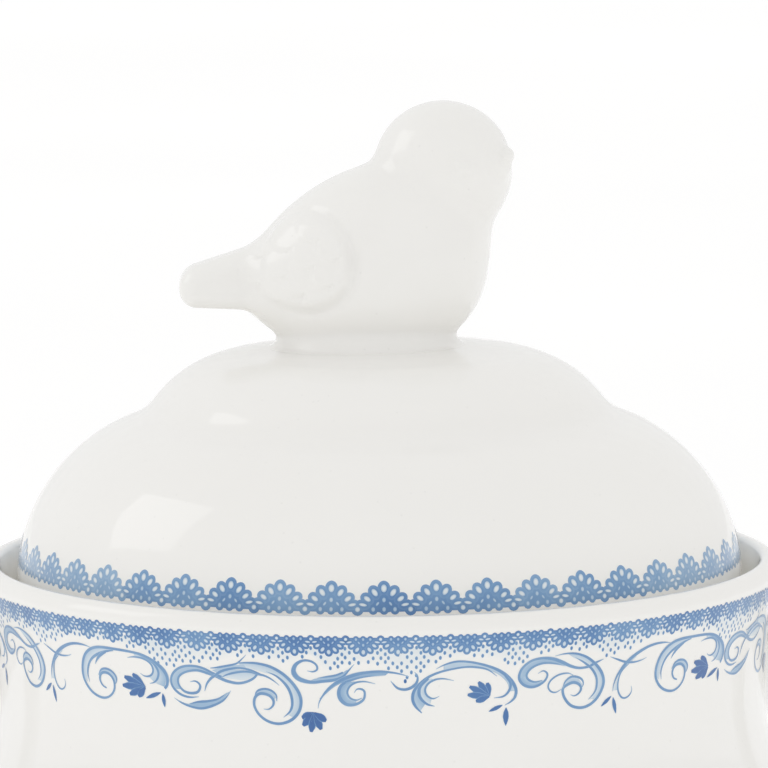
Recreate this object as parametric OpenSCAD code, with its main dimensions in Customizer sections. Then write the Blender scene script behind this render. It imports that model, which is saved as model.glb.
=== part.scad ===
// Covered sugar bowl: a footed porcelain bowl with two loop handles, and a double-domed lid with a
// bird for a knob. Millimetres, +Z up. The origin is the centre of the foot ring, on the surface
// that the bowl stands on. +X points to the right handle, which is also the way the bird looks.

/* [Rim and neck] */
// Outer radius of the rim
rim_r = 54; // [52:0.5:57]
// Height of the top of the rim
rim_top = 78; // [76:0.5:82]
// Diameter of the lip's rounding on its outer side
lip_t = 3.8; // [3:0.1:4.2]
// Radius of the lip's rounding on its inner side
lip_in_r = 0.9; // [0.6:0.1:1.2]
// How far the wall under the lip leans in, down to the seat, in degrees
rim_lean = 15; // [12:1:17]
// Outer radius of the neck where it is narrowest
neck_r = 51.9; // [51:0.1:52.5]
// Depth of the narrowest part below the middle of the lip
neck_drop = 16; // [14:0.5:18]
// Radius of the curve from the neck out to the belly
neck_curve = 30; // [26:1:34]

/* [Belly and foot] */
// Outer radius of the belly
belly_r = 57.5; // [56:0.5:59]
// Radius of the belly's curve, seen from the side
belly_curve = 26; // [24:0.5:27]
// Wall thickness of the bowl
wall = 3.6; // [3:0.1:4]
// Outer radius of the foot ring
foot_r = 35; // [34:0.5:38]
// Width of the foot ring where it stands
foot_w = 2.6; // [2:0.1:3.5]

/* [Seat for the lid] */
// Depth of the seat below the middle of the lip
seat_drop = 4.5; // [3.5:0.1:5.5]
// Radius of the throat inside the seat
throat_r = 46; // [45:0.25:46.5]
// Thickness of the seat's ledge
ledge_t = 3.2; // [2.5:0.1:4]

/* [Lid] */
// Outer radius that the lid's lower dome is drawn to
lid_r = 48.85; // [48:0.05:49.2]
// Height of the lid's crown above the middle of the lip
lid_rise = 31.1; // [30.5:0.1:31.7]
// Radius of the tuck under the lid's widest part
tuck_curve = 8; // [7:0.5:10]
// Wall thickness of the lid
lid_wall = 3.2; // [2.6:0.1:3.6]
// Depth of the locating flange below the seat
flange_drop = 5.8; // [4:0.2:8]
// Thickness of the locating flange
flange_t = 3; // [2.4:0.1:3.4]
// Sideways play between the flange and the throat
flange_play = 0.6; // [0.4:0.1:1]
// Radius of the vent under the hollow bird
vent_r = 2; // [1.5:0.25:3]

/* [Handles] */
// Distance from the axis to the outermost point of a handle's centreline
handle_reach = 72.9; // [71:0.1:74]
// Thickness of a handle, seen from the front
handle_t = 6.4; // [5.6:0.2:7]
// Width of a handle, seen from the side
handle_w = 9; // [8:0.2:10]

/* [Bird] */
// Height of the bird from the bottom of its collar
bird_h = 33.2; // [32.2:0.5:34.2]

/* [Hidden] */

porcelain = [0.93, 0.93, 0.91];
turned_fn = 144;

function at(centre, r, a) = centre + r * [cos(a), sin(a)];
function arc(centre, r, from, to, steps = 12) =
    [for (i = [0 : steps]) at(centre, r, from + (to - from) * i / steps)];

// Rim, neck and belly: each round stretch is an arc that runs smoothly into the next.
lip_r = lip_t / 2;
lip_c = [rim_r - lip_r, rim_top - lip_r];
neck_z = lip_c.y - neck_drop;
neck_in = lip_c.x - neck_r;
flare_curve = (neck_in ^ 2 + neck_drop ^ 2 - lip_r ^ 2) / (2 * (neck_in + lip_r));
flare_c = [neck_r + flare_curve, neck_z];
flare_a = atan2(lip_c.y - flare_c.y, lip_c.x - flare_c.x);
hollow_c = [neck_r + neck_curve, neck_z];
belly_c_x = belly_r - belly_curve;
belly_c = [belly_c_x, neck_z - sqrt((neck_curve + belly_curve) ^ 2 - (hollow_c.x - belly_c_x) ^ 2)];
belly_a = atan2(hollow_c.y - belly_c.y, hollow_c.x - belly_c.x);

// Foot ring: a fillet under the belly, then a flare down to the ring.
foot_a = -82.5;
foot_fillet = 2;
foot_edge = 1;
foot_neck = at(belly_c, belly_curve + foot_fillet, foot_a);
foot_neck_r = foot_neck.x - foot_fillet;
foot_spread = foot_r - foot_neck_r;
foot_drop = foot_neck.y - foot_edge;
foot_curve = (foot_drop ^ 2 + foot_spread ^ 2) / (2 * foot_spread);
recess_z = belly_c.y - belly_curve;
recess_fillet = 2;
ring_in = foot_r - foot_edge - foot_w;

// Seat: the wall under the lip leans in to a ledge, which has a sloping underside.
seat_z = lip_c.y - seat_drop;
seat_round = 0.8;
lip_in_c = [lip_c.x, rim_top - lip_in_r];
lip_in_end = at(lip_in_c, lip_in_r, 180 - rim_lean);
rim_wall = (lip_in_end.y + seat_round * sin(rim_lean) - seat_z - seat_round) / cos(rim_lean);
seat_c_x = lip_in_end.x - rim_wall * sin(rim_lean) - seat_round * cos(rim_lean);
ledge_slope = 3.6;
ledge_z = seat_z - ledge_t;
bore_a = 180 - asin((ledge_z - ledge_slope - neck_z) / (flare_curve + wall));

module bowl_body() {
    color(porcelain) rotate_extrude($fn = turned_fn) polygon(concat(
        [[0, recess_z]],
        arc([ring_in - 1.2 - recess_fillet, recess_z - recess_fillet], recess_fillet, 90, 0, 5),
        arc([ring_in, foot_edge], foot_edge, 180, 270, 4),
        arc([foot_r - foot_edge, foot_edge], foot_edge, 270, 360, 4),
        arc([foot_neck_r + foot_curve, foot_neck.y], foot_curve,
            180 + asin(foot_drop / foot_curve), 180, 6),
        arc(foot_neck, foot_fillet, 180, 180 + foot_a, 5),
        arc(belly_c, belly_curve, foot_a, belly_a, 30),
        arc(hollow_c, neck_curve, belly_a + 180, 180, 10),
        arc(flare_c, flare_curve, 180, flare_a, 6),
        arc(lip_c, lip_r, flare_a - 180, 90, 12),
        arc(lip_in_c, lip_in_r, 90, 180 - rim_lean, 5),
        arc([seat_c_x, seat_z + seat_round], seat_round, 360 - rim_lean, 270, 4),
        arc([throat_r + seat_round, seat_z - seat_round], seat_round, 90, 180, 4),
        arc([throat_r + seat_round, ledge_z + seat_round], seat_round, 180, 230, 3),
        arc(flare_c, flare_curve + wall, bore_a, 180, 2),
        arc(hollow_c, neck_curve + wall, 180, belly_a + 180, 10),
        arc(belly_c, belly_curve - wall, belly_a, -90, 26),
        [[0, belly_c.y - belly_curve + wall]]
    ));
}

// Lid: a flat crown, a round shoulder, a hollow fold and a lower dome that tucks in above the seat.
crown_curve = 130;
crown_a = 8.64;
shoulder_curve = 16.8;
fold_a = 55.8;
fold_curve = 3.6;
dome_a = 18.9;
dome_curve = 23.6;
shoulder_z = lip_c.y + lid_rise;
crown_c = [0, shoulder_z - crown_curve];
shoulder_c = at(crown_c, crown_curve - shoulder_curve, 90 - crown_a);
fold_c = at(shoulder_c, shoulder_curve + fold_curve, 90 - fold_a);
dome_c = [lid_r - dome_curve, fold_c.y - (fold_curve + dome_curve) * cos(dome_a)];
lid_seat = 0.1;
lid_round = 0.8;
lid_low = seat_z + lid_seat;
tuck_a = 6;
tuck_c = at(dome_c, dome_curve - tuck_curve, tuck_a);
edge_a = -asin((tuck_c.y - lid_low - lid_round) / (tuck_curve - lid_round));
edge_c = at(tuck_c, tuck_curve - lid_round, edge_a);
flange_r = throat_r - flange_play;
flange_low = seat_z - flange_drop;
flange_round = flange_t / 2;

module lid() {
    color(porcelain) difference() {
        rotate_extrude($fn = turned_fn) polygon(concat(
            arc(crown_c, crown_curve, 90, 90 - crown_a, 4),
            arc(shoulder_c, shoulder_curve, 90 - crown_a, 90 - fold_a, 14),
            arc(fold_c, fold_curve, 270 - fold_a, 270 - dome_a, 6),
            arc(dome_c, dome_curve, 90 - dome_a, tuck_a, 16),
            arc(tuck_c, tuck_curve, tuck_a, edge_a, 6),
            arc(edge_c, lid_round, edge_a, -90, 4),
            [[flange_r, lid_low]],
            arc([flange_r - flange_round, flange_low + flange_round], flange_round, 0, -180, 10),
            [[flange_r - flange_t, lid_low + 1]],
            arc(dome_c, dome_curve - lid_wall, 20, 90 - dome_a, 12),
            arc(fold_c, fold_curve + lid_wall, 270 - dome_a, 270 - fold_a, 6),
            arc(shoulder_c, shoulder_curve - lid_wall, 90 - fold_a, 90 - crown_a, 10),
            arc(crown_c, crown_curve - lid_wall, 90 - crown_a, 90, 4)
        ));
        translate([0, 0, shoulder_z - 2 * lid_wall])
            cylinder(r = vent_r, h = 3 * lid_wall, $fn = 32);
    }
}

// Handle: an oval bar swept along two joined Bezier curves, wider where it meets the bowl.
handle_sides = 20;
handle_steps = 18;
root_up = [neck_r - 1.9, neck_z];
root_low = [belly_r - 1.9, belly_c.y + 2.3];
upper_run = [root_up, root_up + [11, 8.5], [handle_reach, root_up.y + 6], [handle_reach, root_up.y - 6]];
lower_run = [[handle_reach, root_up.y - 6], [handle_reach, root_up.y - 15],
    root_low + [9, -2.5], root_low];
root_flare = [3.2, 5];
low_flare = [1.4, 2.6];
flare_len = 6.5;

function bezier(p, t) = (1 - t) ^ 3 * p[0] + 3 * (1 - t) ^ 2 * t * p[1]
    + 3 * (1 - t) * t ^ 2 * p[2] + t ^ 3 * p[3];
handle_line = concat(
    [for (i = [0 : handle_steps - 1]) bezier(upper_run, i / handle_steps)],
    [for (i = [0 : handle_steps]) bezier(lower_run, i / handle_steps)]);
handle_last = len(handle_line) - 1;

function along(i) = handle_line[min(i + 1, handle_last)] - handle_line[max(i - 1, 0)];
function flare(p, root) = exp(-((norm(p - root) / flare_len) ^ 2));
function half_size(p) = [handle_t, handle_w] / 2 + root_flare * flare(p, root_up)
    + low_flare * flare(p, root_low);
function handle_ring(i) = let (p = handle_line[i], d = along(i) / norm(along(i)), s = half_size(p))
    [for (k = [0 : handle_sides - 1]) let (a = 360 * k / handle_sides)
        [p.x - d.y * s.x * cos(a), s.y * sin(a), p.y + d.x * s.x * cos(a)]];

module handle() {
    points = [for (i = [0 : handle_last]) each handle_ring(i)];
    sides = [for (i = [0 : handle_last - 1], k = [0 : handle_sides - 1])
        let (a = i * handle_sides + k, b = i * handle_sides + (k + 1) % handle_sides)
        each [[a, a + handle_sides, b], [b, a + handle_sides, b + handle_sides]]];
    first_end = [[for (k = [0 : handle_sides - 1]) k]];
    last_end = [[for (k = [handle_sides - 1 : -1 : 0]) handle_last * handle_sides + k]];
    polyhedron(points, concat(sides, first_end, last_end));
}

module handle_right() {
    color(porcelain) handle();
}

module handle_left() {
    color(porcelain) mirror([1, 0, 0]) handle();
}

// Bird: a plump sitting bird in profile, with its head up, a short beak and a straight tail.
bird_sink = 0.9;
bird_z = shoulder_z - bird_sink;
head_r = 9.1;
head = [8.1, 0, bird_h - head_r];
beak_tip = [17.9, 0, bird_h - head_r + 1.6];
breast = [5.4, 0, 11.8];
back = [-5.4, 0, 13.4];
rump = [-11, 0, 8.8];
tail_tip = [-25.4, 0, 7.8];
base_ends = [-3.8, 0.8];
base_r = 9.8;

module ball(centre, r) {
    translate(centre) sphere(r = r, $fn = 32);
}

module bird_shape() {
    hull() {
        ball(breast, 10);
        ball(back, 10.4);
        ball(rump, 6);
    }
    hull() {
        ball(breast, 9.4);
        ball(head, head_r);
    }
    hull() {
        ball(head + [2, 0, 1], 4.6);
        ball(beak_tip - [1, 0, 0], 1);
    }
    hull() {
        ball(rump, 5.4);
        ball(tail_tip + [0, -3, 0.6], 1.4);
        ball(tail_tip + [0, 3, 0.6], 1.4);
        ball(tail_tip + [1, 0, -1.2], 1.6);
    }
    hull() for (x = base_ends) {
        translate([x, 0, 0]) cylinder(r = base_r, h = 2.2, $fn = 32);
        translate([x, 0, 2.2]) cylinder(r = base_r - 2, h = 8, $fn = 32);
    }
}

module bird_finial() {
    color(porcelain) translate([0, 0, bird_z]) difference() {
        bird_shape();
        hull() {
            ball(breast, 6.4);
            ball(back, 6);
        }
        translate([0, 0, -1]) cylinder(r = 2 * vent_r, h = 10, $fn = 32);
    }
}

bowl_body();
handle_left();
handle_right();
lid();
bird_finial();
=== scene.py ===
"""A covered sugar bowl in white glazed porcelain, with a bird on its lid and blue printed lace."""
import math

import bpy
import numpy as np
import openvdb
from mathutils import Matrix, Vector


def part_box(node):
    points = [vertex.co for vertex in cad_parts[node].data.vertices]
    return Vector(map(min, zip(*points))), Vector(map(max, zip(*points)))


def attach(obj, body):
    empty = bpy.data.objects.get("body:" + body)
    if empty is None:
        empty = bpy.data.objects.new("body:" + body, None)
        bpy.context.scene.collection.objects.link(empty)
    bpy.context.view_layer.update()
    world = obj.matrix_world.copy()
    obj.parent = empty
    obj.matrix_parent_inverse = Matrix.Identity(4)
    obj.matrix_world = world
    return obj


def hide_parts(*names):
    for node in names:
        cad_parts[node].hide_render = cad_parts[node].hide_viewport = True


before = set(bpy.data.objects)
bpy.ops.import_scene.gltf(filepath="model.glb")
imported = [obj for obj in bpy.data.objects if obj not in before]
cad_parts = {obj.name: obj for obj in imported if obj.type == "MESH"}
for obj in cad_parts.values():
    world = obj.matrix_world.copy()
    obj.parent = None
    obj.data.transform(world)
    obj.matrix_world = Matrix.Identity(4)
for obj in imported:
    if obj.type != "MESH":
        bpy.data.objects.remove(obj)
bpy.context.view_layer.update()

MM = 0.001


# ---------------------------------------------------------------- measures in mm, as in the CAD source

def box_mm(node):
    """A CAD node's lowest and highest corners, in mm."""
    low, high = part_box(node)
    return np.array(low) / MM, np.array(high) / MM


bowl_high = box_mm("bowl_body")[1]
lid_high = box_mm("lid")[1]
handle_high = box_mm("handle_right")[1]

BELLY_R = bowl_high[0]
RIM_TOP = bowl_high[2]
LID_R = 48.85
RIM_R = 54.0
LIP_R = 1.9
LIP_IN_R = 0.9
RIM_LEAN = 15
NECK_R = 51.9
NECK_DROP = 16.0
NECK_CURVE = 30.0
BELLY_CURVE = 26.0
WALL = 3.6
FOOT_R = 35.0
FOOT_W = 2.6
SEAT_DROP = 4.5
THROAT_R = 46.0
LEDGE = 3.2
LID_WALL = 3.2
VENT_R = 2.0
LIP_C = np.array([RIM_R - LIP_R, RIM_TOP - LIP_R])
SEAT_Z = LIP_C[1] - SEAT_DROP
CROWN_Z = lid_high[2]
VIEW_AZIMUTH = -3.0


def at(centre, radius, angle):
    """The point on a circle of the profile plane at an angle in degrees."""
    a = np.radians(angle)
    return np.array([centre[0] + radius * np.cos(a), centre[1] + radius * np.sin(a)])


def arc(centre, radius, start, end, step=0.4):
    """Points along an arc of the profile plane, from one angle to another, in degrees."""
    count = max(3, math.ceil(abs(math.radians(end - start)) * radius / step))
    return np.array([at(centre, radius, a) for a in np.linspace(start, end, count + 1)])


def line(start, end, step=0.8):
    """Points along a straight stretch of the profile plane, without its ends."""
    start, end = np.array(start, float), np.array(end, float)
    count = max(2, math.ceil(np.linalg.norm(end - start) / step))
    return np.array([start + (end - start) * i / count for i in range(1, count)])


# ---------------------------------------------------------------- profiles

def bowl_curves():
    """The circles that the bowl's outline is made of: the neck's flare, the hollow under it and the belly."""
    inset = LIP_C[0] - NECK_R
    flare = (inset**2 + NECK_DROP**2 - LIP_R**2) / (2 * (inset + LIP_R))
    neck_z = LIP_C[1] - NECK_DROP
    flare_c = np.array([NECK_R + flare, neck_z])
    hollow_c = np.array([NECK_R + NECK_CURVE, neck_z])
    belly_x = BELLY_R - BELLY_CURVE
    belly_drop = math.sqrt((NECK_CURVE + BELLY_CURVE) ** 2 - (hollow_c[0] - belly_x) ** 2)
    belly_c = np.array([belly_x, neck_z - belly_drop])
    return flare, flare_c, hollow_c, belly_c


def angle_from(centre, point):
    return math.degrees(math.atan2(point[1] - centre[1], point[0] - centre[0]))


def bowl_outside():
    """The outline from the foot ring up to the lip's outer side."""
    flare, flare_c, hollow_c, belly_c = bowl_curves()
    foot_a, fillet, edge = -82.5, 2.0, 1.0
    foot_neck = at(belly_c, BELLY_CURVE + fillet, foot_a)
    neck_r = foot_neck[0] - fillet
    drop, spread = foot_neck[1] - edge, FOOT_R - neck_r
    curve = (drop**2 + spread**2) / (2 * spread)
    belly_a = angle_from(belly_c, hollow_c)
    flare_a = angle_from(flare_c, LIP_C)
    return np.concatenate([
        arc([FOOT_R - edge, edge], edge, 270, 360, 0.15),
        arc([neck_r + curve, foot_neck[1]], curve, 180 + math.degrees(math.asin(drop / curve)), 180),
        arc(foot_neck, fillet, 180, 180 + foot_a, 0.2)[1:],
        arc(belly_c, BELLY_CURVE, foot_a, belly_a)[1:],
        arc(hollow_c, NECK_CURVE, belly_a + 180, 180)[1:],
        arc(flare_c, flare, 180, flare_a)[1:],
        arc(LIP_C, LIP_R, flare_a - 180, 0, 0.12)[1:],
    ])


def bowl_inside():
    """The outline over the lip, down the rim's leaning wall, round the seat and down to the floor."""
    flare, flare_c, hollow_c, belly_c = bowl_curves()
    belly_a = angle_from(belly_c, hollow_c)
    soft, under_z = 0.8, SEAT_Z - LEDGE
    lip_in = np.array([LIP_C[0], RIM_TOP - LIP_IN_R])
    wall_top = at(lip_in, LIP_IN_R, 180 - RIM_LEAN)
    lean = math.radians(RIM_LEAN)
    drop = (wall_top[1] + soft * math.sin(lean) - SEAT_Z - soft) / math.cos(lean)
    seat = np.array([wall_top[0] - drop * math.sin(lean) - soft * math.cos(lean), SEAT_Z + soft])
    bore = 180 - math.degrees(math.asin((under_z - 3.6 - flare_c[1]) / (flare + WALL)))
    wall_end = at(flare_c, flare + WALL, bore)
    under_end = at([THROAT_R + soft, under_z + soft], soft, 230)
    return np.concatenate([
        arc(LIP_C, LIP_R, 0, 90, 0.12)[1:],
        arc(lip_in, LIP_IN_R, 90, 180 - RIM_LEAN, 0.1)[1:],
        line(wall_top, at(seat, soft, -RIM_LEAN)),
        arc(seat, soft, 360 - RIM_LEAN, 270, 0.12),
        line([seat[0], SEAT_Z], [THROAT_R + soft, SEAT_Z]),
        arc([THROAT_R + soft, SEAT_Z - soft], soft, 90, 180, 0.12),
        line([THROAT_R, SEAT_Z - soft], [THROAT_R, under_z + soft]),
        arc([THROAT_R + soft, under_z + soft], soft, 180, 230, 0.12),
        line(under_end, wall_end, 0.4),
        arc(flare_c, flare + WALL, bore, 180),
        arc(hollow_c, NECK_CURVE + WALL, 180, belly_a + 180)[1:],
        arc(belly_c, BELLY_CURVE - WALL, belly_a, -90)[1:],
        line([belly_c[0], belly_c[1] - BELLY_CURVE + WALL], [0, belly_c[1] - BELLY_CURVE + WALL]),
        [[0, belly_c[1] - BELLY_CURVE + WALL]],
    ])


def bowl_underside():
    """The outline of the recess in the foot ring, from the axis out to the ring's flat face."""
    belly_c = bowl_curves()[3]
    top, fillet, edge = belly_c[1] - BELLY_CURVE, 2.0, 1.0
    ring = FOOT_R - edge - FOOT_W
    return np.concatenate([
        [[0, top]],
        line([0, top], [ring - 1.2 - fillet, top]),
        arc([ring - 1.2 - fillet, top - fillet], fillet, 90, 0, 0.2),
        line([ring - 1.2, top - fillet], [ring - edge, edge]),
        arc([ring, edge], edge, 180, 270, 0.15),
        line([ring, 0], [FOOT_R - edge, 0]),
    ])


def lid_curves():
    """The lid's tangent circles: crown, shoulder, hollow fold and lower dome."""
    crown, shoulder, fold, dome = 130.0, 16.8, 3.6, 23.6
    crown_a, fold_a, dome_a = 8.64, 55.8, 18.9
    crown_c = np.array([0, CROWN_Z - crown])
    shoulder_c = at(crown_c, crown - shoulder, 90 - crown_a)
    fold_c = at(shoulder_c, shoulder + fold, 90 - fold_a)
    dome_c = np.array([LID_R - dome, fold_c[1] - (fold + dome) * math.cos(math.radians(dome_a))])
    return (crown_c, crown, crown_a), (shoulder_c, shoulder), (fold_c, fold, fold_a), (dome_c, dome, dome_a)


def lid_edge():
    """The tuck under the lid's widest part and the round of its lower edge."""
    dome_c, dome = lid_curves()[3][:2]
    tuck, tuck_a, soft, low = 8.0, 6.0, 0.8, SEAT_Z + 0.1
    tuck_c = at(dome_c, dome - tuck, tuck_a)
    edge_a = -math.degrees(math.asin((tuck_c[1] - low - soft) / (tuck - soft)))
    return (tuck_c, tuck, tuck_a), (at(tuck_c, tuck - soft, edge_a), soft, edge_a)


def relaxed(outline, centre, reach=4.0, rounds=60):
    """The same outline with the bend near a centre relaxed into a longer curve."""
    near = 0.5 * np.exp(-((np.linalg.norm(outline - centre, axis=1) / reach) ** 2))[1:-1, None]
    for _ in range(rounds):
        outline[1:-1] += near * ((outline[:-2] + outline[2:]) / 2 - outline[1:-1])
    return outline


def lid_outside():
    """The outline from the lid's lower edge up to the vent in its crown."""
    curves = lid_curves()
    (crown_c, crown, crown_a), (shoulder_c, shoulder) = curves[:2]
    (fold_c, fold, fold_a), (dome_c, dome, dome_a) = curves[2:]
    (tuck_c, tuck, tuck_a), (edge_c, soft, edge_a) = lid_edge()
    outline = np.concatenate([
        arc(edge_c, soft, -90, edge_a, 0.12),
        arc(tuck_c, tuck, edge_a, tuck_a, 0.3)[1:],
        arc(dome_c, dome, tuck_a, 90 - dome_a, 0.35)[1:],
        arc(fold_c, fold, 270 - dome_a, 270 - fold_a, 0.2)[1:],
        arc(shoulder_c, shoulder, 90 - fold_a, 90 - crown_a, 0.3)[1:],
        arc(crown_c, crown, 90 - crown_a, 90 - math.degrees((VENT_R + 0.4) / crown), 0.8)[1:],
        arc([VENT_R + 0.4, CROWN_Z - 0.4], 0.4, 90, 180, 0.12),
    ])
    return relaxed(outline, at(fold_c, fold, 270 - (dome_a + fold_a) / 2))


def lid_inside():
    """The outline from under the crown down the inside of the dome, round the flange and out to the edge."""
    curves = lid_curves()
    (crown_c, crown, crown_a), (shoulder_c, shoulder) = curves[:2]
    (fold_c, fold, fold_a), (dome_c, dome, dome_a) = curves[2:]
    flange_r, flange_t, low = THROAT_R - 0.6, 3.0, SEAT_Z + 0.1
    half, foot = flange_t / 2, SEAT_Z - 5.8 + flange_t / 2
    inner_start = at(dome_c, dome - LID_WALL, 20)
    edge_c = lid_edge()[1][0]
    return np.concatenate([
        arc([VENT_R + 0.4, CROWN_Z - LID_WALL + 0.4], 0.4, 180, 270, 0.12),
        arc(crown_c, crown - LID_WALL, 90 - math.degrees((VENT_R + 0.4) / crown), 90 - crown_a, 0.8)[1:],
        arc(shoulder_c, shoulder - LID_WALL, 90 - crown_a, 90 - fold_a)[1:],
        arc(fold_c, fold + LID_WALL, 270 - fold_a, 270 - dome_a)[1:],
        arc(dome_c, dome - LID_WALL, 90 - dome_a, 20)[1:],
        line(inner_start, [flange_r - flange_t, low + 1]),
        line([flange_r - flange_t, low + 1], [flange_r - flange_t, foot]),
        arc([flange_r - half, foot], half, 180, 360, 0.15),
        line([flange_r, foot], [flange_r, low - 0.3]),
        arc([flange_r + 0.3, low - 0.3], 0.3, 180, 90, 0.12),
        line([flange_r + 0.3, low], [edge_c[0], low]),
    ])


# ---------------------------------------------------------------- mesh helpers

def new_object(name, points_mm, faces, material):
    """A mesh object from points in mm, in the row's frame."""
    mesh = bpy.data.meshes.new(name)
    mesh.from_pydata((np.asarray(points_mm) * MM).tolist(), [], faces)
    mesh.update()
    mesh.shade_smooth()
    thing = bpy.data.objects.new(name, mesh)
    bpy.context.scene.collection.objects.link(thing)
    mesh.materials.append(material)
    return thing


def lathe(name, outline, material, around=420):
    """A surface turned about the Z axis from a counterclockwise outline of (radius, height) points.

    An outline that starts and ends on the axis closes there; any other one closes on itself as a ring."""
    outline = np.asarray(outline)
    poled = outline[0, 0] == 0
    turned = outline[1:-1] if poled else outline
    rows = len(turned)
    angles = np.linspace(0, 2 * np.pi, around, endpoint=False)
    points = np.stack([
        np.outer(np.cos(angles), turned[:, 0]),
        np.outer(np.sin(angles), turned[:, 0]),
        np.tile(turned[:, 1], (around, 1)),
    ], axis=2).reshape(-1, 3)
    faces = []
    for i in range(around):
        here, there = i * rows, (i + 1) % around * rows
        for j in range(rows - 1 if poled else rows):
            k = (j + 1) % rows
            faces.append((here + j, there + j, there + k, here + k))
        if poled:
            first_pole = around * rows
            faces.append((first_pole, there, here))
            faces.append((here + rows - 1, there + rows - 1, first_pole + 1))
    if poled:
        points = np.concatenate([points, [[0, 0, outline[0, 1]], [0, 0, outline[-1, 1]]]])
    return new_object(name, points, faces, material)


# ---------------------------------------------------------------- materials

PORCELAIN = (0.93, 0.92, 0.893)
PORCELAIN_DIM = (0.918, 0.908, 0.88)
INK_FULL = (0.038, 0.133, 0.375)


def tools_of(tree):
    """Helpers that add a node to a tree, with values for its inputs or settings, and link two sockets."""
    def add(kind, **values):
        node = tree.nodes.new(kind)
        for key, value in values.items():
            if key in node.inputs:
                node.inputs[key].default_value = value
            else:
                setattr(node, key, value)
        return node

    return add, tree.links.new


def new_material(name):
    """A material with its Principled shader, its node helpers and the object's own coordinates."""
    material = bpy.data.materials.new(name)
    material.use_nodes = True
    add, link = tools_of(material.node_tree)
    place = add("ShaderNodeTexCoord").outputs["Object"]
    return material, material.node_tree.nodes["Principled BSDF"], add, link, place


def glaze(shader, add, link, place):
    """Clear glaze over the body: a smooth coat with the faint ripple that a fired glaze has."""
    for socket, value in (("Roughness", 0.42), ("IOR", 1.5), ("Specular IOR Level", 0.2),
                          ("Coat Weight", 1.0), ("Coat Roughness", 0.03), ("Coat IOR", 1.52)):
        shader.inputs[socket].default_value = value
    ripple = add("ShaderNodeTexNoise", Scale=95.0, Detail=2.0, Roughness=0.45)
    bump = add("ShaderNodeBump", Strength=0.16, Distance=0.0006)
    link(place, ripple.inputs["Vector"])
    link(ripple.outputs["Fac"], bump.inputs["Height"])
    link(bump.outputs["Normal"], shader.inputs["Coat Normal"])
    link(bump.outputs["Normal"], shader.inputs["Normal"])


def porcelain_material():
    """White porcelain: a faintly warm body with soft clouds, fine specks and a clear glaze."""
    material, shader, add, link, place = new_material("porcelain_glazed")
    clouds = add("ShaderNodeTexNoise", Scale=38.0, Detail=4.0, Roughness=0.6)
    tone = add("ShaderNodeValToRGB")
    for stop, position, colour in zip(tone.color_ramp.elements, (0.3, 0.7), (PORCELAIN_DIM, PORCELAIN)):
        stop.position = position
        stop.color = (*colour, 1)
    specks = add("ShaderNodeTexVoronoi", Scale=420.0, Randomness=1.0)
    dark = add("ShaderNodeMapRange", **{"From Max": 0.09, "To Min": 0.93})
    grey = add("ShaderNodeCombineColor")
    speckled = add("ShaderNodeMix", data_type="RGBA", blend_type="MULTIPLY", Factor=1.0)
    link(place, clouds.inputs["Vector"])
    link(clouds.outputs["Fac"], tone.inputs["Fac"])
    link(place, specks.inputs["Vector"])
    link(specks.outputs["Distance"], dark.inputs["Value"])
    for channel in ("Red", "Green", "Blue"):
        link(dark.outputs["Result"], grey.inputs[channel])
    link(tone.outputs["Color"], speckled.inputs["A"])
    link(grey.outputs["Color"], speckled.inputs["B"])
    link(speckled.outputs["Result"], shader.inputs["Base Color"])
    glaze(shader, add, link, place)
    return material


def ink_material():
    """Cobalt ink under the same glaze, which filters more of the white body as the ink attribute rises."""
    material, shader, add, link, place = new_material("blue_print")
    ink = add("ShaderNodeAttribute", attribute_name="ink")
    mottle = add("ShaderNodeTexNoise", Scale=170.0, Detail=3.0, Roughness=0.6)
    patch = add("ShaderNodeMapRange", **{"From Min": 0.3, "From Max": 0.7, "To Min": 0.84, "To Max": 1.1})
    amount = add("ShaderNodeMath", operation="MULTIPLY", use_clamp=True)
    tone = add("ShaderNodeValToRGB")
    for density in np.linspace(0.1, 0.9, 5):
        tone.color_ramp.elements.new(density)
    for stop in tone.color_ramp.elements:
        through = [body * (blue / body) ** stop.position for body, blue in zip(PORCELAIN, INK_FULL)]
        stop.color = (*through, 1)
    link(place, mottle.inputs["Vector"])
    link(mottle.outputs["Fac"], patch.inputs["Value"])
    link(ink.outputs["Fac"], amount.inputs[0])
    link(patch.outputs["Result"], amount.inputs[1])
    link(amount.outputs["Value"], tone.inputs["Fac"])
    link(tone.outputs["Color"], shader.inputs["Base Color"])
    glaze(shader, add, link, place)
    return material


# ---------------------------------------------------------------- prints: drawing flat

FIRST_COAT = 0.014
COAT = 0.006
SHINGLE = 0.0004
PEN_SPREAD = 1.25


def smooth_line(points, step=0.2):
    """A round curve through given points (Catmull-Rom), as evenly spaced points."""
    knots = np.asarray(points, float)
    knots = np.vstack([2 * knots[0] - knots[1], knots, 2 * knots[-1] - knots[-2]])
    t = np.linspace(0, 1, 8, endpoint=False)[:, None]
    runs = [
        0.5 * (2 * b + (c - a) * t + (2 * a - 5 * b + 4 * c - d) * t**2 + (3 * b - a - 3 * c + d) * t**3)
        for a, b, c, d in zip(knots, knots[1:], knots[2:], knots[3:])
    ]
    return even(np.vstack(runs + [knots[-2:-1]]), step=step)


def even(fine, step=0.2, count=None):
    """The same line with evenly spaced points."""
    fine = np.asarray(fine, float)
    length = np.concatenate([[0], np.cumsum(np.linalg.norm(np.diff(fine, axis=0), axis=1))])
    count = count or max(4, round(length[-1] / step))
    where = np.linspace(0, length[-1], count + 1)
    return np.stack([np.interp(where, length, fine[:, k]) for k in (0, 1)], axis=1)


def band_faces(rows, count):
    """The faces between rows of points that run side by side, each row with the same count."""
    return [
        (r * count + i, r * count + i + 1, (r + 1) * count + i + 1, (r + 1) * count + i)
        for r in range(rows - 1) for i in range(count - 1)
    ]


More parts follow.
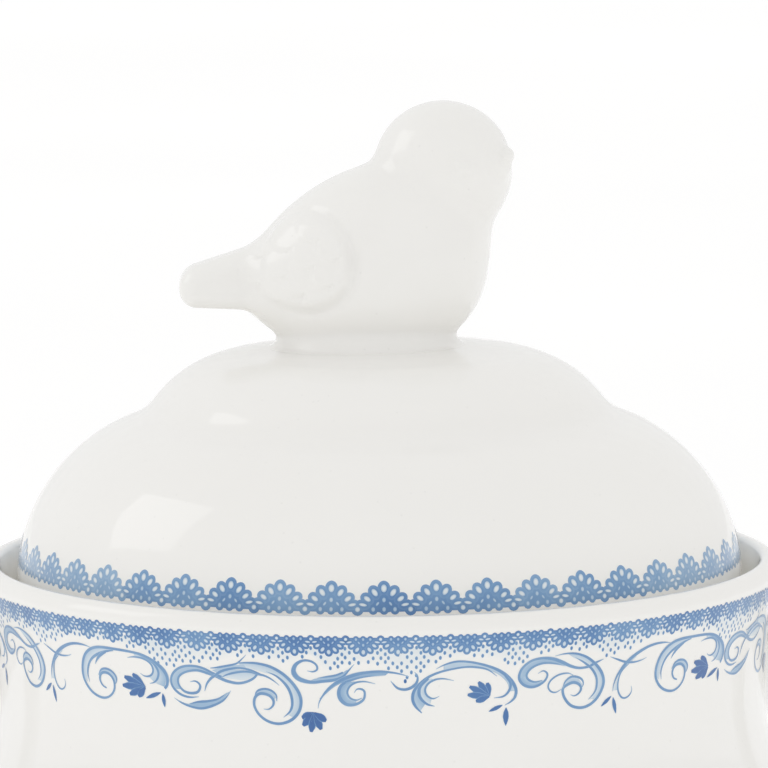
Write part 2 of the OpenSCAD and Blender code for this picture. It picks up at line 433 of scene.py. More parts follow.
class Drawing:
    """A flat drawing in ink, as faces over points (u along the band, v across it, height above the glaze)."""

    def __init__(self, wash_ink=1.0):
        self.wash_ink = wash_ink
        self.points, self.faces, self.ink, self.shapes = [], [], [], 0

    def add(self, points, faces, ink, coat):
        """Adds one shape on a coat of ink, each a hair above the last so that no two lie in one surface."""
        self.shapes += 1
        height = FIRST_COAT + COAT * coat + SHINGLE * (self.shapes % 12)
        start = len(self.points)
        self.points += [(u, v, height) for u, v in points]
        self.faces += [tuple(start + i for i in face) for face in faces]
        self.ink += list(ink)

    def stroke(self, points, widths, ink=0.58, coat=2, round_line=True):
        """A pen stroke through the points, with its width spread evenly along it."""
        middle = smooth_line(points) if round_line else even(points)
        count = len(middle)
        along = np.gradient(middle, axis=0)
        across = np.stack([-along[:, 1], along[:, 0]], axis=1) / np.linalg.norm(along, axis=1)[:, None]
        width = PEN_SPREAD * np.interp(np.linspace(0, 1, count), np.linspace(0, 1, len(widths)), widths)
        rails = (-0.5, -0.32, 0.32, 0.5)
        rows = np.concatenate([middle + across * width[:, None] * rail for rail in rails])
        fade = np.clip(width / 0.2, 0.35, 1)
        density = np.concatenate([ink * fade * (0.5 if abs(rail) == 0.5 else 1) for rail in rails])
        self.add(rows, band_faces(len(rails), count), density, coat)

    def wash(self, side_a, side_b, ink_a, ink_b, coat=1, count=None):
        """A thin wash of ink between two lines, from one density to the other."""
        side_a, side_b = smooth_line(side_a), smooth_line(side_b)
        count = count or max(len(side_a), len(side_b)) - 1
        side_a, side_b = even(side_a, count=count), even(side_b, count=count)
        rows = np.concatenate([side_a, (side_a + side_b) / 2, side_b])
        density = np.repeat([ink_a, (ink_a + ink_b) / 2, ink_b], count + 1)
        self.add(rows, band_faces(3, count + 1), density * self.wash_ink, coat)

    def blot(self, centre, size, tilt=0.0, rim=1.0, core=1.0, coat=2, sides=14):
        """An oval of ink, tilted in degrees, with one density at its rim and one in the middle."""
        a = np.linspace(0, 2 * np.pi, sides, endpoint=False)
        t = math.radians(tilt)
        ring = np.stack([np.cos(a) * size[0] / 2, np.sin(a) * size[1] / 2], axis=1)
        ring = ring @ np.array([[math.cos(t), -math.sin(t)], [math.sin(t), math.cos(t)]])
        rows = np.concatenate([ring + centre, ring * 0.55 + centre, [centre]])
        faces = []
        for i in range(sides):
            k = (i + 1) % sides
            faces.append((i, k, sides + k, sides + i))
            faces.append((sides + i, sides + k, 2 * sides))
        density = np.concatenate([np.full(sides, rim), np.full(sides + 1, core)])
        self.add(rows, faces, density, coat)


def wrap(name, drawing, times, round_r, start_z, up, curve_c, curve_r, side, material, body):
    """Lays a flat drawing round the pot, so many times, on the arc that the pot's outline follows there."""
    u, v, height = np.array(drawing.points).T
    outline = np.stack([np.zeros_like(v), start_z + up * v], axis=1)
    outline[:, 0] = curve_c[0] + side * np.sqrt(curve_r**2 - (outline[:, 1] - curve_c[1]) ** 2)
    outward = side * (outline - curve_c) / curve_r
    spot = outline + outward * height[:, None]
    flat = np.stack([u, v], axis=1)
    sides = []
    for face in drawing.faces:
        a, b, c = flat[face[0]], flat[face[1]], flat[face[2]]
        turn = (b[0] - a[0]) * (c[1] - a[1]) - (b[1] - a[1]) * (c[0] - a[0])
        sides.append(face if turn * up > 0 else face[::-1])
    points, normals, faces = [], [], []
    for k in range(times):
        angle = u / round_r + math.radians(VIEW_AZIMUTH) + 2 * np.pi * k / times
        across, along = np.sin(angle), -np.cos(angle)
        points.append(np.stack([spot[:, 0] * across, spot[:, 0] * along, spot[:, 1]], axis=1))
        normals.append(np.stack([outward[:, 0] * across, outward[:, 0] * along, outward[:, 1]], axis=1))
        faces += [tuple(i + k * len(u) for i in face) for face in sides]
    thing = new_object(name, np.concatenate(points), faces, material)
    thing.data.normals_split_custom_set_from_vertices(np.concatenate(normals).tolist())
    ink = thing.data.attributes.new("ink", "FLOAT", "POINT")
    ink.data.foreach_set("value", np.tile(drawing.ink, times).astype(np.float32))
    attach(thing, body)
    return thing


# ---------------------------------------------------------------- prints: the lace

BAND_TOP = RIM_TOP - 2.2
SCROLL_RUNS = 4
PERIOD_SCALLOPS = 19
BOWL_PITCH = 2 * math.pi * RIM_R / (SCROLL_RUNS * PERIOD_SCALLOPS)
BOWL_FIRST = -2.1 - 11 * BOWL_PITCH
LID_BAND = LIP_C[1] + 1.5
LID_SCALLOPS = 45
LID_AROUND = 2 * math.pi * LID_R
LID_PITCH = LID_AROUND / LID_SCALLOPS
LID_FIRST = 0.6

# The middle and right half of one scallop: how far out and up each opening is, its width, height and tilt
LACE_HOLES = [
    (0.0, 3.34, 0.78, 1.0, 0),
    (1.2, 2.82, 0.66, 1.08, 38),
    (2.16, 2.04, 0.58, 1.0, 58),
    (2.72, 1.3, 0.4, 1.05, 80),
]
LACE_RINGS = [
    (0.0, 1.9, 0.5, 0.62, 0),
    (0.0, 0.72, 0.5, 0.62, 0),
    (0.84, 1.42, 0.3, 0.62, -38),
    (1.4, 0.72, 0.5, 0.62, 0),
]

# The lower edge of the fine dots under the bowl's lace, which dips between the scrolls
NET_EDGE = [
    (-53.5, 4.9), (-50, 4.2), (-46, 3), (-38, 2.9), (-33, 3.8), (-29.4, 5.9), (-27, 4.7), (-23, 4.3),
    (-18, 3.2), (-12, 4), (-9, 2.8), (-7, 5), (-4.5, 4.3), (0, 4.1), (3.3, 6.2), (6, 5.2), (8, 3.5),
    (12, 3.2), (16, 4.1), (18, 5.3), (20, 3.7), (25, 3.1), (30, 4), (31.3, 4.9),
]
NET_ROWS = 9
NET_COLUMNS = 4


def scallop(draw, middle, scale, pitch, outline, dark, filled):
    """One scallop of lace: a fan of eyelets over a few small rings, with a round ring at the join.

    The outline is how wide the line round an eyelet is, dark is the ground's ink and filled an eyelet's."""
    left, right = middle - pitch / 2, middle + pitch / 2
    low, edge, crest = 0.4 * scale, 1.15 * scale, 1.2 * scale
    draw.wash([(left, low), (middle, low), (right, low)],
              [(left, edge), (middle, crest), (right, edge)], dark, dark, 0, count=14)
    draw.blot((middle, 1.7 * scale), (4.6 * scale, 2.8 * scale), 0, dark, dark, 0, 28)
    for side in (1, -1):
        for u, v, wide, tall, tilt in LACE_HOLES[0 if side > 0 else 1:]:
            place = (middle + side * u * scale, v * scale)
            size = np.array([wide, tall]) * scale
            draw.blot(place, size + 2 * outline, side * tilt, dark * 0.85, dark, 1, 20)
            draw.blot(place, size, side * tilt, 0.3, filled, 3)
        for u, v, wide, tall, tilt in LACE_RINGS[0 if side > 0 else 2:]:
            place = (middle + side * u * scale, v * scale)
            size = np.array([wide, tall]) * scale
            draw.blot(place, size + 0.75 * scale, 0, dark, dark, 1, 14)
            draw.blot(place, size, side * tilt, 0.4, filled + 0.15, 3, 10)
    draw.blot((right, 0.7 * scale), np.full(2, 0.66 * scale + 2 * outline), 0, dark, dark, 1, 16)
    draw.blot((right, 0.7 * scale), np.full(2, 0.66 * scale), 0, 0.3, 0.08, 3, 12)


def lace_tone_and_glare(u, least, most, half):
    """How dark the ink is along a lace band: never quite even, with painted glare that leaves the ink fullest
    in the middle of the drawing, which faces the camera, and paler towards the sides.
    """
    # painted glare: the ink is full only round the middle and paler towards the sides, as if washed out by
    # the glaze's reflection
    unglared_front = (most - least) * math.exp(-((u / half) ** 2))
    return least + unglared_front + 0.04 * math.sin(0.21 * u + 1.0) + 0.04 * math.sin(0.53 * u)


def draw_lid_lace():
    draw = Drawing()
    for k in range(LID_SCALLOPS):
        middle = LID_FIRST + k * LID_PITCH
        # how far round from the front, which faces the camera, this scallop lies; the lace is painted paler
        # away from it, as glare
        u = (middle + LID_AROUND / 2) % LID_AROUND - LID_AROUND / 2
        scallop(draw, middle, 1.0, LID_PITCH, 0.46, lace_tone_and_glare(u, 0.45, 0.62, 36), 0.07)
    return draw


def draw_bowl_lace():
    """The bowl's lace, tips down, with the rows of fine dots that hang below each valley."""
    draw = Drawing()
    for k in range(PERIOD_SCALLOPS):
        middle = BOWL_FIRST + k * BOWL_PITCH
        # painted glare: the ink is a little fuller round the middle of each run, which faces the camera on
        # the first run
        tone = lace_tone_and_glare(middle + 10, 0.7, 0.76, 30)
        scallop(draw, middle, BOWL_PITCH / LID_PITCH, BOWL_PITCH, 0.3, tone, 0.14)
        for row in range(NET_ROWS):
            for column in range(NET_COLUMNS):
                off = (column + 0.5 * (row % 2)) * BOWL_PITCH / NET_COLUMNS
                u = middle + off + 0.14 * math.sin(1.7 * middle + 5 * column)
                v = 1.75 + 0.62 * row + 0.12 * math.sin(2.3 * middle + 3 * column + row)
                fan = math.hypot((min(off, BOWL_PITCH - off) + 0.2) / 2.2, (v - 0.9) / 2.25)
                if fan > 1 and v < np.interp(u, *zip(*NET_EDGE)) - 0.3:
                    draw.blot((u, v), (0.42, 0.58), 0, 0.35, 0.66, 2, 8)
    draw.wash([(u, 1.6) for u, _ in NET_EDGE], NET_EDGE, 0.08, 0.0, -0.5, count=180)
    return draw


def leaf(draw, stem, tip, width, ink=0.92):
    draw.stroke([stem, tip], (0.08, width * 0.8, width, width * 0.7, 0.06), ink, 3, False)


def flower(draw, base, tips, width=0.86, ink=1.0):
    """A small fan of dark petals, each from the base out to a little past its tip."""
    widths = [width * share for share in (0.25, 0.6, 0.95, 0.9, 0.35)]
    for tip in tips:
        draw.stroke([base, np.array(base) + 1.14 * np.subtract(tip, base)], widths, ink, 3, False)


def draw_scrolls():
    """One run of the scroll frieze, left to right, in mm along the band and down from its top."""
    draw = Drawing(wash_ink=0.8)
    stroke, wash, thin = draw.stroke, draw.wash, 0.07

    # Stem curling down to the left, with a cross stroke and two leaves
    wash([(-48.5, 5.2), (-50.3, 6.4), (-51.1, 7.9), (-51, 9.2)], [(-48, 4.5), (-49.6, 5.4),
        (-51, 7), (-51.9, 9.2)], 0.3, 0.1)
    stroke([(-42.3, 3.9), (-43.5, 3.72), (-45, 3.7), (-46.5, 3.95), (-48, 4.5), (-49.3, 5.2), (-50.3, 6),
        (-51.3, 7.2), (-51.8, 8.4), (-51.9, 9.3)], (thin, 0.25, 0.32, 0.4, 0.42, 0.25, thin))
    stroke([(-49, 5.5), (-50.6, 6.7), (-51.1, 8), (-51, 9.3), (-50.4, 10.2), (-49.7, 10.4),
        (-49, 10.1), (-48.65, 9.5), (-48.8, 8.9)], (thin, 0.16, 0.2, 0.22, 0.22, 0.18, thin))
    stroke([(-52.8, 4.6), (-51.5, 5.1), (-50.2, 5.55), (-48.7, 5.75), (-47.3, 5.6), (-46.5, 5.35)],
        (thin, 0.22, 0.26, 0.18, thin))
    leaf(draw, (-52.1, 9.9), (-53.7, 11.1), 0.45)
    leaf(draw, (-51.8, 10.1), (-51.2, 12.3), 0.52)

    # Large scroll: a spiral below, and an arm over the flower that ends in three strands
    wash([(-43.7, 8.7), (-43.6, 7.2), (-42.9, 5.9), (-41.6, 4.9), (-40, 4.2), (-38.2, 3.9)],
        [(-44.4, 8.2), (-44.4, 6.6), (-43.8, 5.3), (-42.6, 4.3), (-40.8, 3.75), (-38.2, 3.7)], 0.14, 0.34)
    wash([(-41.1, 8.1), (-41, 7.4), (-40.4, 7.05), (-39.5, 7.1), (-38.8, 7.6), (-38.5, 8.3)],
        [(-41.4, 7.4), (-40.8, 6.75), (-39.9, 6.5), (-38.9, 6.7), (-38.2, 7.3), (-38.2, 8.2)], 0.35, 0.25)
    wash([(-34.5, 3.85), (-32.9, 4.2), (-31.4, 4.9), (-30.3, 5.8), (-29.7, 6.8), (-30, 8)],
        [(-34.5, 4.2), (-32.9, 4.6), (-31.8, 5.3), (-31.2, 6.1), (-31.2, 6.9), (-31.8, 7.5)], 0.42, 0.14)
    wash([(-34, 4.05), (-32.5, 4.35), (-31.4, 5), (-30.8, 6), (-31, 6.9), (-31.6, 7.5)], [(-34, 4.4),
        (-32.5, 4.7), (-31.8, 5.2), (-31.6, 5.9), (-31.9, 6.5), (-32.5, 6.8)], 0.3, 0.18)
    stroke([(-40.1, 9.1), (-40.8, 8.8), (-41.2, 8.1), (-41, 7.4), (-40.4, 7.05), (-39.5, 7.1),
        (-38.8, 7.6), (-38.55, 8.3), (-38.7, 9.2), (-39.4, 10), (-40.5, 10.45), (-41.7, 10.4), (-43, 9.9),
        (-44, 9), (-44.5, 7.9), (-44.4, 6.6), (-43.8, 5.3), (-42.8, 4.4), (-41.5, 3.85), (-40, 3.65),
        (-38, 3.65), (-36, 3.7), (-34, 3.85), (-32.5, 4.2), (-31, 4.9), (-29.9, 5.8), (-29.45, 6.8),
        (-29.6, 7.7), (-30, 8.2)], (0.16, 0.34, 0.3, 0.24, 0.3, 0.34, 0.36, 0.34, 0.32, 0.3, 0.28, 0.36, 0.5,
        0.3))
    stroke([(-43.3, 8.7), (-43.5, 7.5), (-43.1, 6.3), (-42.3, 5.4), (-41.3, 4.8), (-40, 4.3), (-38.8, 4),
        (-38, 3.9)], (thin, 0.26, 0.3, 0.34, 0.3, 0.1))
    stroke([(-41.8, 6.1), (-41.3, 5.4), (-40.5, 4.7), (-39.5, 4.2)], (thin, 0.3, 0.4, 0.3))
    stroke([(-41.4, 7.5), (-40.8, 6.75), (-39.9, 6.5), (-38.9, 6.7), (-38.2, 7.3), (-38.1, 7.9),
        (-38.4, 8.4)], (0.1, 0.24, 0.26, 0.26, 0.24, 0.1))
    stroke([(-35.7, 4.6), (-34.7, 4.4), (-33.5, 4.4), (-32.5, 4.65), (-31.8, 5.2), (-31.6, 5.9),
        (-31.9, 6.5), (-32.5, 6.8), (-33.2, 6.8), (-33.8, 6.5)], (thin, 0.2, 0.26, 0.26, 0.22, thin))
    stroke([(-34, 4), (-32.5, 4.35), (-31.4, 5), (-30.8, 6), (-31, 6.9), (-31.6, 7.5), (-32.4, 7.75)],
        (thin, 0.3, 0.34, 0.28, thin))
    flower(draw, (-33.2, 8.3), [(-34.9, 6.9), (-36.2, 7.35), (-36.6, 8.4), (-35.6, 9.35), (-34.3, 9.5)])
    leaf(draw, (-30.7, 8.8), (-33.2, 9.75), 0.5)
    leaf(draw, (-30.4, 8.9), (-30.2, 10.7), 0.5)

    # Open spiral that runs on as a crossed, eye-shaped ribbon into the great spiral
    wash([(-28.5, 8.1), (-28.9, 7.2), (-28.6, 6.2), (-27.7, 5.4), (-26.5, 4.95), (-25, 4.85),
        (-23.7, 5.1), (-22.6, 5.6)], [(-27.4, 8.1), (-27.8, 6.9), (-27.4, 6.2), (-26.6, 5.75), (-25.5, 5.45),
        (-24.5, 5.4), (-23.3, 5.65), (-22.3, 5.9)], 0.3, 0.42)
    wash([(-22.3, 5.75), (-21, 5.3), (-19.5, 4.95), (-17.8, 5), (-16.2, 5.5)], [(-22.3, 5.85),
        (-21.3, 6.1), (-20, 6.2), (-18.2, 6.3), (-16.6, 5.8)], 0.3, 0.1)
    wash([(-18.6, 4.1), (-17, 4), (-15.2, 4.2), (-13.4, 4.9), (-11.9, 6.1), (-10.9, 7.7), (-10.6, 9.4),
        (-11.5, 11)], [(-18.6, 4.6), (-16.8, 4.8), (-15.2, 5.2), (-13.6, 5.6), (-12.3, 6.8), (-11.7, 8),
        (-11.6, 9.2), (-12.4, 10.6)], 0.28, 0.12)
    wash([(-22.6, 5.2), (-21, 4.75), (-19.4, 4.4), (-18, 4.2)], [(-22, 5.5), (-20.4, 5.05), (-19, 4.8),
        (-17.6, 4.8)], 0.3, 0.3)
    stroke([(-26, 7), (-25.2, 6.85), (-24.6, 7.2), (-24.55, 7.7), (-25, 8.3), (-26, 8.5), (-27, 8.3),
        (-27.7, 7.6), (-27.8, 6.8), (-27.4, 6.2), (-26.6, 5.75), (-25.5, 5.45), (-24.5, 5.4), (-23.3, 5.65),
        (-22.3, 5.9), (-21.3, 6.3), (-20.3, 6.6), (-19, 6.75), (-17.8, 6.5), (-16.8, 6), (-16.2, 5.4)], (thin,
        0.28, 0.3, 0.28, 0.26, 0.26, 0.3, 0.34, 0.36, 0.3, 0.28, 0.24))
    stroke([(-24.8, 8.9), (-26.2, 9.05), (-27.5, 8.8), (-28.5, 8.1), (-28.9, 7.2), (-28.6, 6.2),
        (-27.7, 5.4), (-26.5, 4.95), (-25, 4.85), (-23.7, 5.1), (-22.6, 5.6), (-21.3, 6.1)], (thin, 0.24, 0.3,
        0.28, 0.28, 0.28, 0.26, 0.3, 0.4))
    stroke([(-21.3, 6.1), (-20.5, 5.7), (-19.3, 5.35), (-18, 5.15), (-16.9, 5.2), (-16.2, 5.4),
        (-15.2, 5.6), (-14.2, 6.1), (-13.3, 6.8)], (0.1, 0.26, 0.26, 0.26, 0.2, thin))
    stroke([(-22.3, 5.95), (-21.3, 5.3), (-20, 4.9), (-18.7, 4.7), (-17.2, 4.9), (-15.8, 5.45)], (0.3,
        0.3, 0.24, 0.24, 0.24))
    stroke([(-23.9, 8.1), (-23.5, 7.1), (-22.8, 6.3), (-22, 5.8)], (thin, 0.22, 0.3, 0.3))
    stroke([(-22.8, 4.95), (-22, 4.85), (-20.8, 4.6), (-19.5, 4.3), (-18.8, 4), (-18, 3.3),
        (-17.6, 2.9)], (0.1, 0.24, 0.24, 0.18, thin))
    stroke([(-18.8, 4.05), (-17.5, 3.95), (-16, 4), (-14.3, 4.4), (-12.7, 5.3), (-11.4, 6.6), (-10.6, 8),
        (-10.5, 9.3), (-11, 10.5), (-12, 11.4), (-13.5, 11.85), (-15, 11.6), (-16.2, 10.8), (-16.85, 9.7),
        (-16.8, 8.7), (-16.3, 8.1), (-15.6, 7.95), (-14.7, 8.2), (-14.2, 8.8), (-14.3, 9.5), (-14.9, 10),
        (-15.6, 10)], (0.12, 0.26, 0.32, 0.36, 0.38, 0.36, 0.34, 0.3, 0.3, 0.3, 0.34, 0.32, thin))
    wash([(-16.8, 9.2), (-16.3, 8.1), (-15.6, 7.95), (-14.7, 8.2), (-14.2, 8.8)], [(-16.8, 8.5),
        (-16.4, 7.7), (-15.5, 7.35), (-14.5, 7.5), (-13.8, 8.4)], 0.4, 0.25)
    stroke([(-16.8, 8.5), (-16.4, 7.7), (-15.5, 7.35), (-14.5, 7.5), (-13.8, 8.1), (-13.75, 8.9)], (0.1,
        0.24, 0.26, 0.24, 0.1))
    stroke([(-15, 5), (-13.6, 5.6), (-12.4, 6.7), (-11.8, 7.9), (-11.65, 9.2), (-12, 10.2),
        (-12.9, 11)], (thin, 0.22, 0.34, 0.34, 0.28, thin))
    wash([(-28.2, 9.5), (-26.5, 9.95), (-24.5, 9.55), (-22.4, 9.1), (-20.4, 8)], [(-27.6, 9.9),
        (-26, 10.3), (-24.3, 10.35), (-22, 9.6), (-20.3, 8)], 0.4, 0.4)
    stroke([(-28.6, 9.3), (-27.5, 9.9), (-26, 10.3), (-24.5, 10.4), (-23, 10), (-21.5, 9.3),
        (-20.7, 8.6), (-20.1, 7.8)], (thin, 0.22, 0.28, 0.3, 0.24, thin))
    stroke([(-26.3, 9.95), (-25, 9.6), (-23.5, 9.4), (-22, 9), (-20.6, 8.1)], (0.1, 0.3, 0.24, thin))
    flower(draw, (-8.75, 10.3), [(-10.2, 10.9), (-10.1, 11.8), (-9.15, 12.5), (-7.95, 12.2), (-7.35, 11.2)])

    # Small upper curl, the long S-stroke and the curl below it
    wash([(-9.5, 6.2), (-7.5, 6.1), (-6, 5.9), (-4.9, 5.5), (-4.2, 4.8)], [(-8.6, 5.8), (-7, 5.5),
        (-5.8, 5.3), (-4.9, 4.95), (-4.2, 4.5)], 0.3, 0.45)
    wash([(-8, 8.4), (-6.4, 6.8), (-5.2, 6), (-3.8, 5.4), (-2.3, 5), (-0.5, 4.8), (1.2, 4.9)],
        [(-7.8, 8.4), (-6.2, 7), (-5, 6.3), (-3.9, 5.95), (-2.5, 5.55), (-1, 5.35), (0.7, 5.3)], 0.6, 0.5)
    wash([(-3.2, 9.1), (-4.4, 9.1), (-5.2, 8.4), (-5.4, 7.5), (-5.1, 6.7), (-4.2, 6.1)], [(-3.1, 8.6),
        (-3.9, 8.3), (-4.3, 7.6), (-4, 6.8), (-3.2, 6.25), (-2.4, 6.1)], 0.55, 0.3)
    stroke([(-9.5, 4.75), (-8.7, 4.85), (-8.15, 4.5), (-8.3, 3.9), (-9, 3.45), (-10, 3.4), (-10.9, 3.9),
        (-11.3, 4.7), (-11.1, 5.4), (-10.4, 5.95), (-9, 6.25), (-7.5, 6.1), (-6, 5.9), (-4.9, 5.5),
        (-4.2, 4.8), (-3.6, 4.1), (-3.3, 3.8)], (thin, 0.22, 0.24, 0.26, 0.42, 0.6, 0.5, 0.36, 0.34, 0.36,
        0.3, 0.2, thin))
    stroke([(-8.2, 5.7), (-7, 5.5), (-5.8, 5.3), (-4.8, 4.9)], (thin, 0.2, 0.24, 0.2))
    stroke([(-8.2, 9.7), (-8, 8.8), (-7.3, 7.7), (-6.4, 6.8), (-5.2, 6), (-3.8, 5.4), (-2.3, 5),
        (-0.5, 4.8), (1, 4.85), (2.5, 5.1), (3.8, 5.5)], (thin, 0.2, 0.34, 0.46, 0.44, 0.34, 0.28, 0.2, thin))
    stroke([(-5, 6.3), (-3.9, 5.95), (-2.5, 5.55), (-1, 5.35), (0.5, 5.3)], (0.3, 0.24, 0.16, thin))
    stroke([(-3.4, 7.6), (-3, 7.1), (-2.3, 7.15), (-2, 7.6), (-2.2, 8.5), (-3.2, 9.1), (-4.4, 9.1),
        (-5.2, 8.4), (-5.4, 7.5), (-5.1, 6.7), (-4.5, 6.2)], (thin, 0.24, 0.26, 0.3, 0.4, 0.5, 0.4, 0.3))
    stroke([(-2.4, 8.3), (-3.1, 8.55), (-3.9, 8.3), (-4.3, 7.6), (-4, 6.8), (-3.2, 6.25), (-2, 6.1),
        (-0.6, 6.4)], (0.1, 0.22, 0.24, 0.22, 0.16, thin))

    # Hook round a single dot
    stroke([(4.5, 4.9), (4.9, 5.5), (4.8, 6.3), (4.2, 6.9), (3.3, 7.2), (2.3, 7), (1.6, 6.3),
        (1.4, 6)], (thin, 0.26, 0.34, 0.3, 0.24, thin))
    draw.blot((3.3, 6.1), (0.42, 0.58), 0, 0.6, 0.95, 2, 10)

    # Arched scroll over the second flower
    wash([(8.3, 4.1), (9.8, 3.7), (11.3, 3.75), (13, 4.1), (14.8, 4.7), (16.3, 5.5), (17.5, 6.6),
        (18.1, 8)], [(8.3, 4.9), (9.5, 4.65), (11.3, 4.45), (13, 4.6), (14.3, 5), (15.7, 5.7), (16.9, 6.8),
        (17.3, 8)], 0.24, 0.3)
    wash([(5.3, 10.1), (4.4, 9), (4.4, 7.6), (5, 6.7), (6.2, 5.7)], [(6, 9.1), (5.2, 8.2), (5.1, 7.5),
        (5.5, 6.7), (6.5, 5.8)], 0.22, 0.4)
    wash([(6.6, 9.3), (5.5, 8.4), (5.2, 7.5), (5.6, 6.6), (6.6, 5.8)], [(6.8, 8.5), (6.1, 8), (5.9, 7.3),
        (6.3, 6.5), (7.2, 6)], 0.12, 0.3)
    stroke([(7.3, 4.6), (8.3, 4.1), (9.8, 3.7), (11.3, 3.75), (13, 4.1), (14.8, 4.7), (16.3, 5.5),
        (17.5, 6.6), (18.2, 7.8), (18.1, 8.8), (17.5, 9.4), (16.7, 9.8)], (thin, 0.22, 0.24, 0.26, 0.3, 0.38,
        0.42, 0.34, thin))
    stroke([(5.5, 10.35), (4.7, 9.5), (4.3, 8.6), (4.4, 7.6), (5, 6.7), (6.2, 5.7), (7.7, 5.05),
        (9.5, 4.65), (11.3, 4.45), (13, 4.6), (14.3, 5), (15.5, 5.9)], (0.12, 0.34, 0.36, 0.32, 0.28, 0.24,
        0.22, 0.22, 0.24, 0.18, thin))
    stroke([(7.2, 9.5), (6.2, 9.2), (5.4, 8.5), (5.1, 7.7), (5.3, 6.8), (6.3, 5.8)], (thin, 0.26, 0.34,
        0.4, 0.34, 0.3))
    stroke([(7.8, 8.2), (7, 8.5), (6.2, 8.1), (5.9, 7.3), (6.3, 6.5), (7.2, 6), (8.3, 5.9), (9.7, 6.2)],
        (thin, 0.22, 0.24, 0.24, 0.16, thin))
    stroke([(16.6, 5.8), (17.4, 6.9), (17.25, 7.9), (16.5, 8.6), (15.2, 8.75)], (0.3, 0.32, 0.3, 0.2,
        thin))
    flower(draw, (14.55, 8.5), [(14.25, 6.9), (13.2, 6.75), (12.15, 7.25), (11.95, 8.2), (12.95, 9)], 0.76,
        0.86)
    leaf(draw, (16.4, 9.75), (14.5, 10.5), 0.45)
    leaf(draw, (16.9, 10.1), (16.9, 12.5), 0.68)

    # Last pair of spirals, which hands over to the next run
    wash([(18.7, 6.6), (18.7, 5.5), (19.3, 4.7), (20.3, 4.1), (21.7, 3.9), (23.2, 4.1), (24.5, 4.6),
        (26, 5.3)], [(19.7, 6.4), (19.9, 5.4), (20.6, 4.9), (21.6, 4.6), (22.7, 4.6), (24, 4.85), (25.2, 5.2),
        (26.2, 5.5)], 0.35, 0.5)
    wash([(22, 7.2), (20.2, 7.6), (19.2, 7.2), (18.6, 6.4)], [(22, 6.9), (20.9, 7), (20, 6.7),
        (19.6, 6.1)], 0.5, 0.3)
    wash([(25.4, 3.6), (27, 3.8), (28.6, 4.5), (30, 5.6), (31, 6.9), (31.2, 8.4), (30.4, 10)],
        [(26.3, 4.2), (28, 5), (29.3, 6), (30.1, 7.2), (30.2, 8.5), (29.8, 9.4), (29.2, 10)], 0.3, 0.12)
    wash([(25, 8.3), (25.5, 7.8), (26.5, 7.5), (27.4, 7.8), (27.8, 8.4)], [(25, 8), (25.3, 7.3),
        (26.1, 6.75), (27, 6.8), (27.9, 7.8)], 0.35, 0.2)
    stroke([(21.2, 5.9), (22, 5.6), (22.6, 6.1), (22.3, 6.9), (21.3, 7.5), (20.2, 7.6), (19.2, 7.2),
        (18.6, 6.4), (18.7, 5.5), (19.3, 4.7), (20.3, 4.1), (21.7, 3.9), (23.2, 4.1), (24.5, 4.6), (26, 5.3),
        (27.3, 5.65), (28.7, 5.6), (29.7, 5.2), (31, 4.8)], (thin, 0.24, 0.28, 0.34, 0.34, 0.3, 0.28, 0.3,
        0.4, 0.42, 0.32, 0.26, 0.34, thin))
    stroke([(21.9, 6.85), (20.9, 7), (20, 6.7), (19.6, 6.1), (19.9, 5.4), (20.6, 4.9), (21.6, 4.6),
        (22.7, 4.6), (24, 4.85), (25.2, 5.2)], (0.1, 0.26, 0.3, 0.26, 0.2, thin))
    stroke([(23.5, 3.75), (25, 3.55), (26.7, 3.7), (28.3, 4.3), (29.7, 5.3), (30.8, 6.5), (31.3, 7.8),
        (31, 9), (30.2, 10.1), (29, 10.8), (27.7, 10.95), (26.3, 10.5), (25.3, 9.4), (25, 8.3), (25.5, 7.8),
        (26.5, 7.5), (27.4, 7.8), (27.8, 8.4), (27.5, 9), (26.8, 9.3), (26.2, 9.1)], (thin, 0.2, 0.26, 0.32,
        0.38, 0.38, 0.34, 0.32, 0.32, 0.32, 0.36, 0.3, thin))
    stroke([(25, 8.1), (25.3, 7.3), (26.1, 6.75), (27, 6.8), (27.8, 7.2), (28.1, 7.8), (27.9, 8.3)],
        (0.1, 0.24, 0.26, 0.24, 0.1))
    stroke([(26.5, 4.15), (28, 5), (29.3, 6), (30.1, 7.2), (30.2, 8.5), (29.8, 9.3), (29, 10)], (thin,
        0.24, 0.3, 0.28, thin))
    stroke([(26.6, 6.6), (25.6, 6.2), (24.3, 6.3), (23.2, 6.9), (22.8, 7.7), (23.2, 8.4), (24, 8.6),
        (24.9, 8.2)], (thin, 0.2, 0.22, 0.2, thin))
    return draw


# ---------------------------------------------------------------- soft solids

def blend(a, b, soft):
    """The distance to two solids joined by a soft fillet."""
    h = np.clip(0.5 + 0.5 * (b - a) / soft, 0, 1)
    return b + (a - b) * h - soft * h * (1 - h)


def ease(low, high, x):
    t = np.clip((x - low) / (high - low), 0, 1)
    return t * t * (3 - 2 * t)


def oval(p, centre, half):
    """The distance to an ellipsoid."""
    half = np.array(half, float)
    q = (p - np.array(centre)) / half
    size = np.linalg.norm(q, axis=-1)
    return (size - 1) * size / np.maximum(np.linalg.norm(q / half, axis=-1), 1e-6)


def taper(p, start, end, r_start, r_end, widen=1.0):
    """The distance to a round bar with a radius at each end, stretched sideways."""
    start, end = np.array(start, float), np.array(end, float)
    q = p * np.array([1, 1 / widen, 1])
    run = end - start
    t = np.clip((q - start) @ run / (run @ run), 0, 1)
    return np.linalg.norm(q - start - t[..., None] * run, axis=-1) - (r_start + (r_end - r_start) * t)


def luted(piece, base, soft, sink=0.12, depth=0.9):
    """A piece with the fillet of slip that joins it to a base, let a little way into that base."""
    joined = blend(piece, base + sink, soft)
    return np.maximum(np.maximum(joined, -(base + depth)), piece - 1.5 * soft)


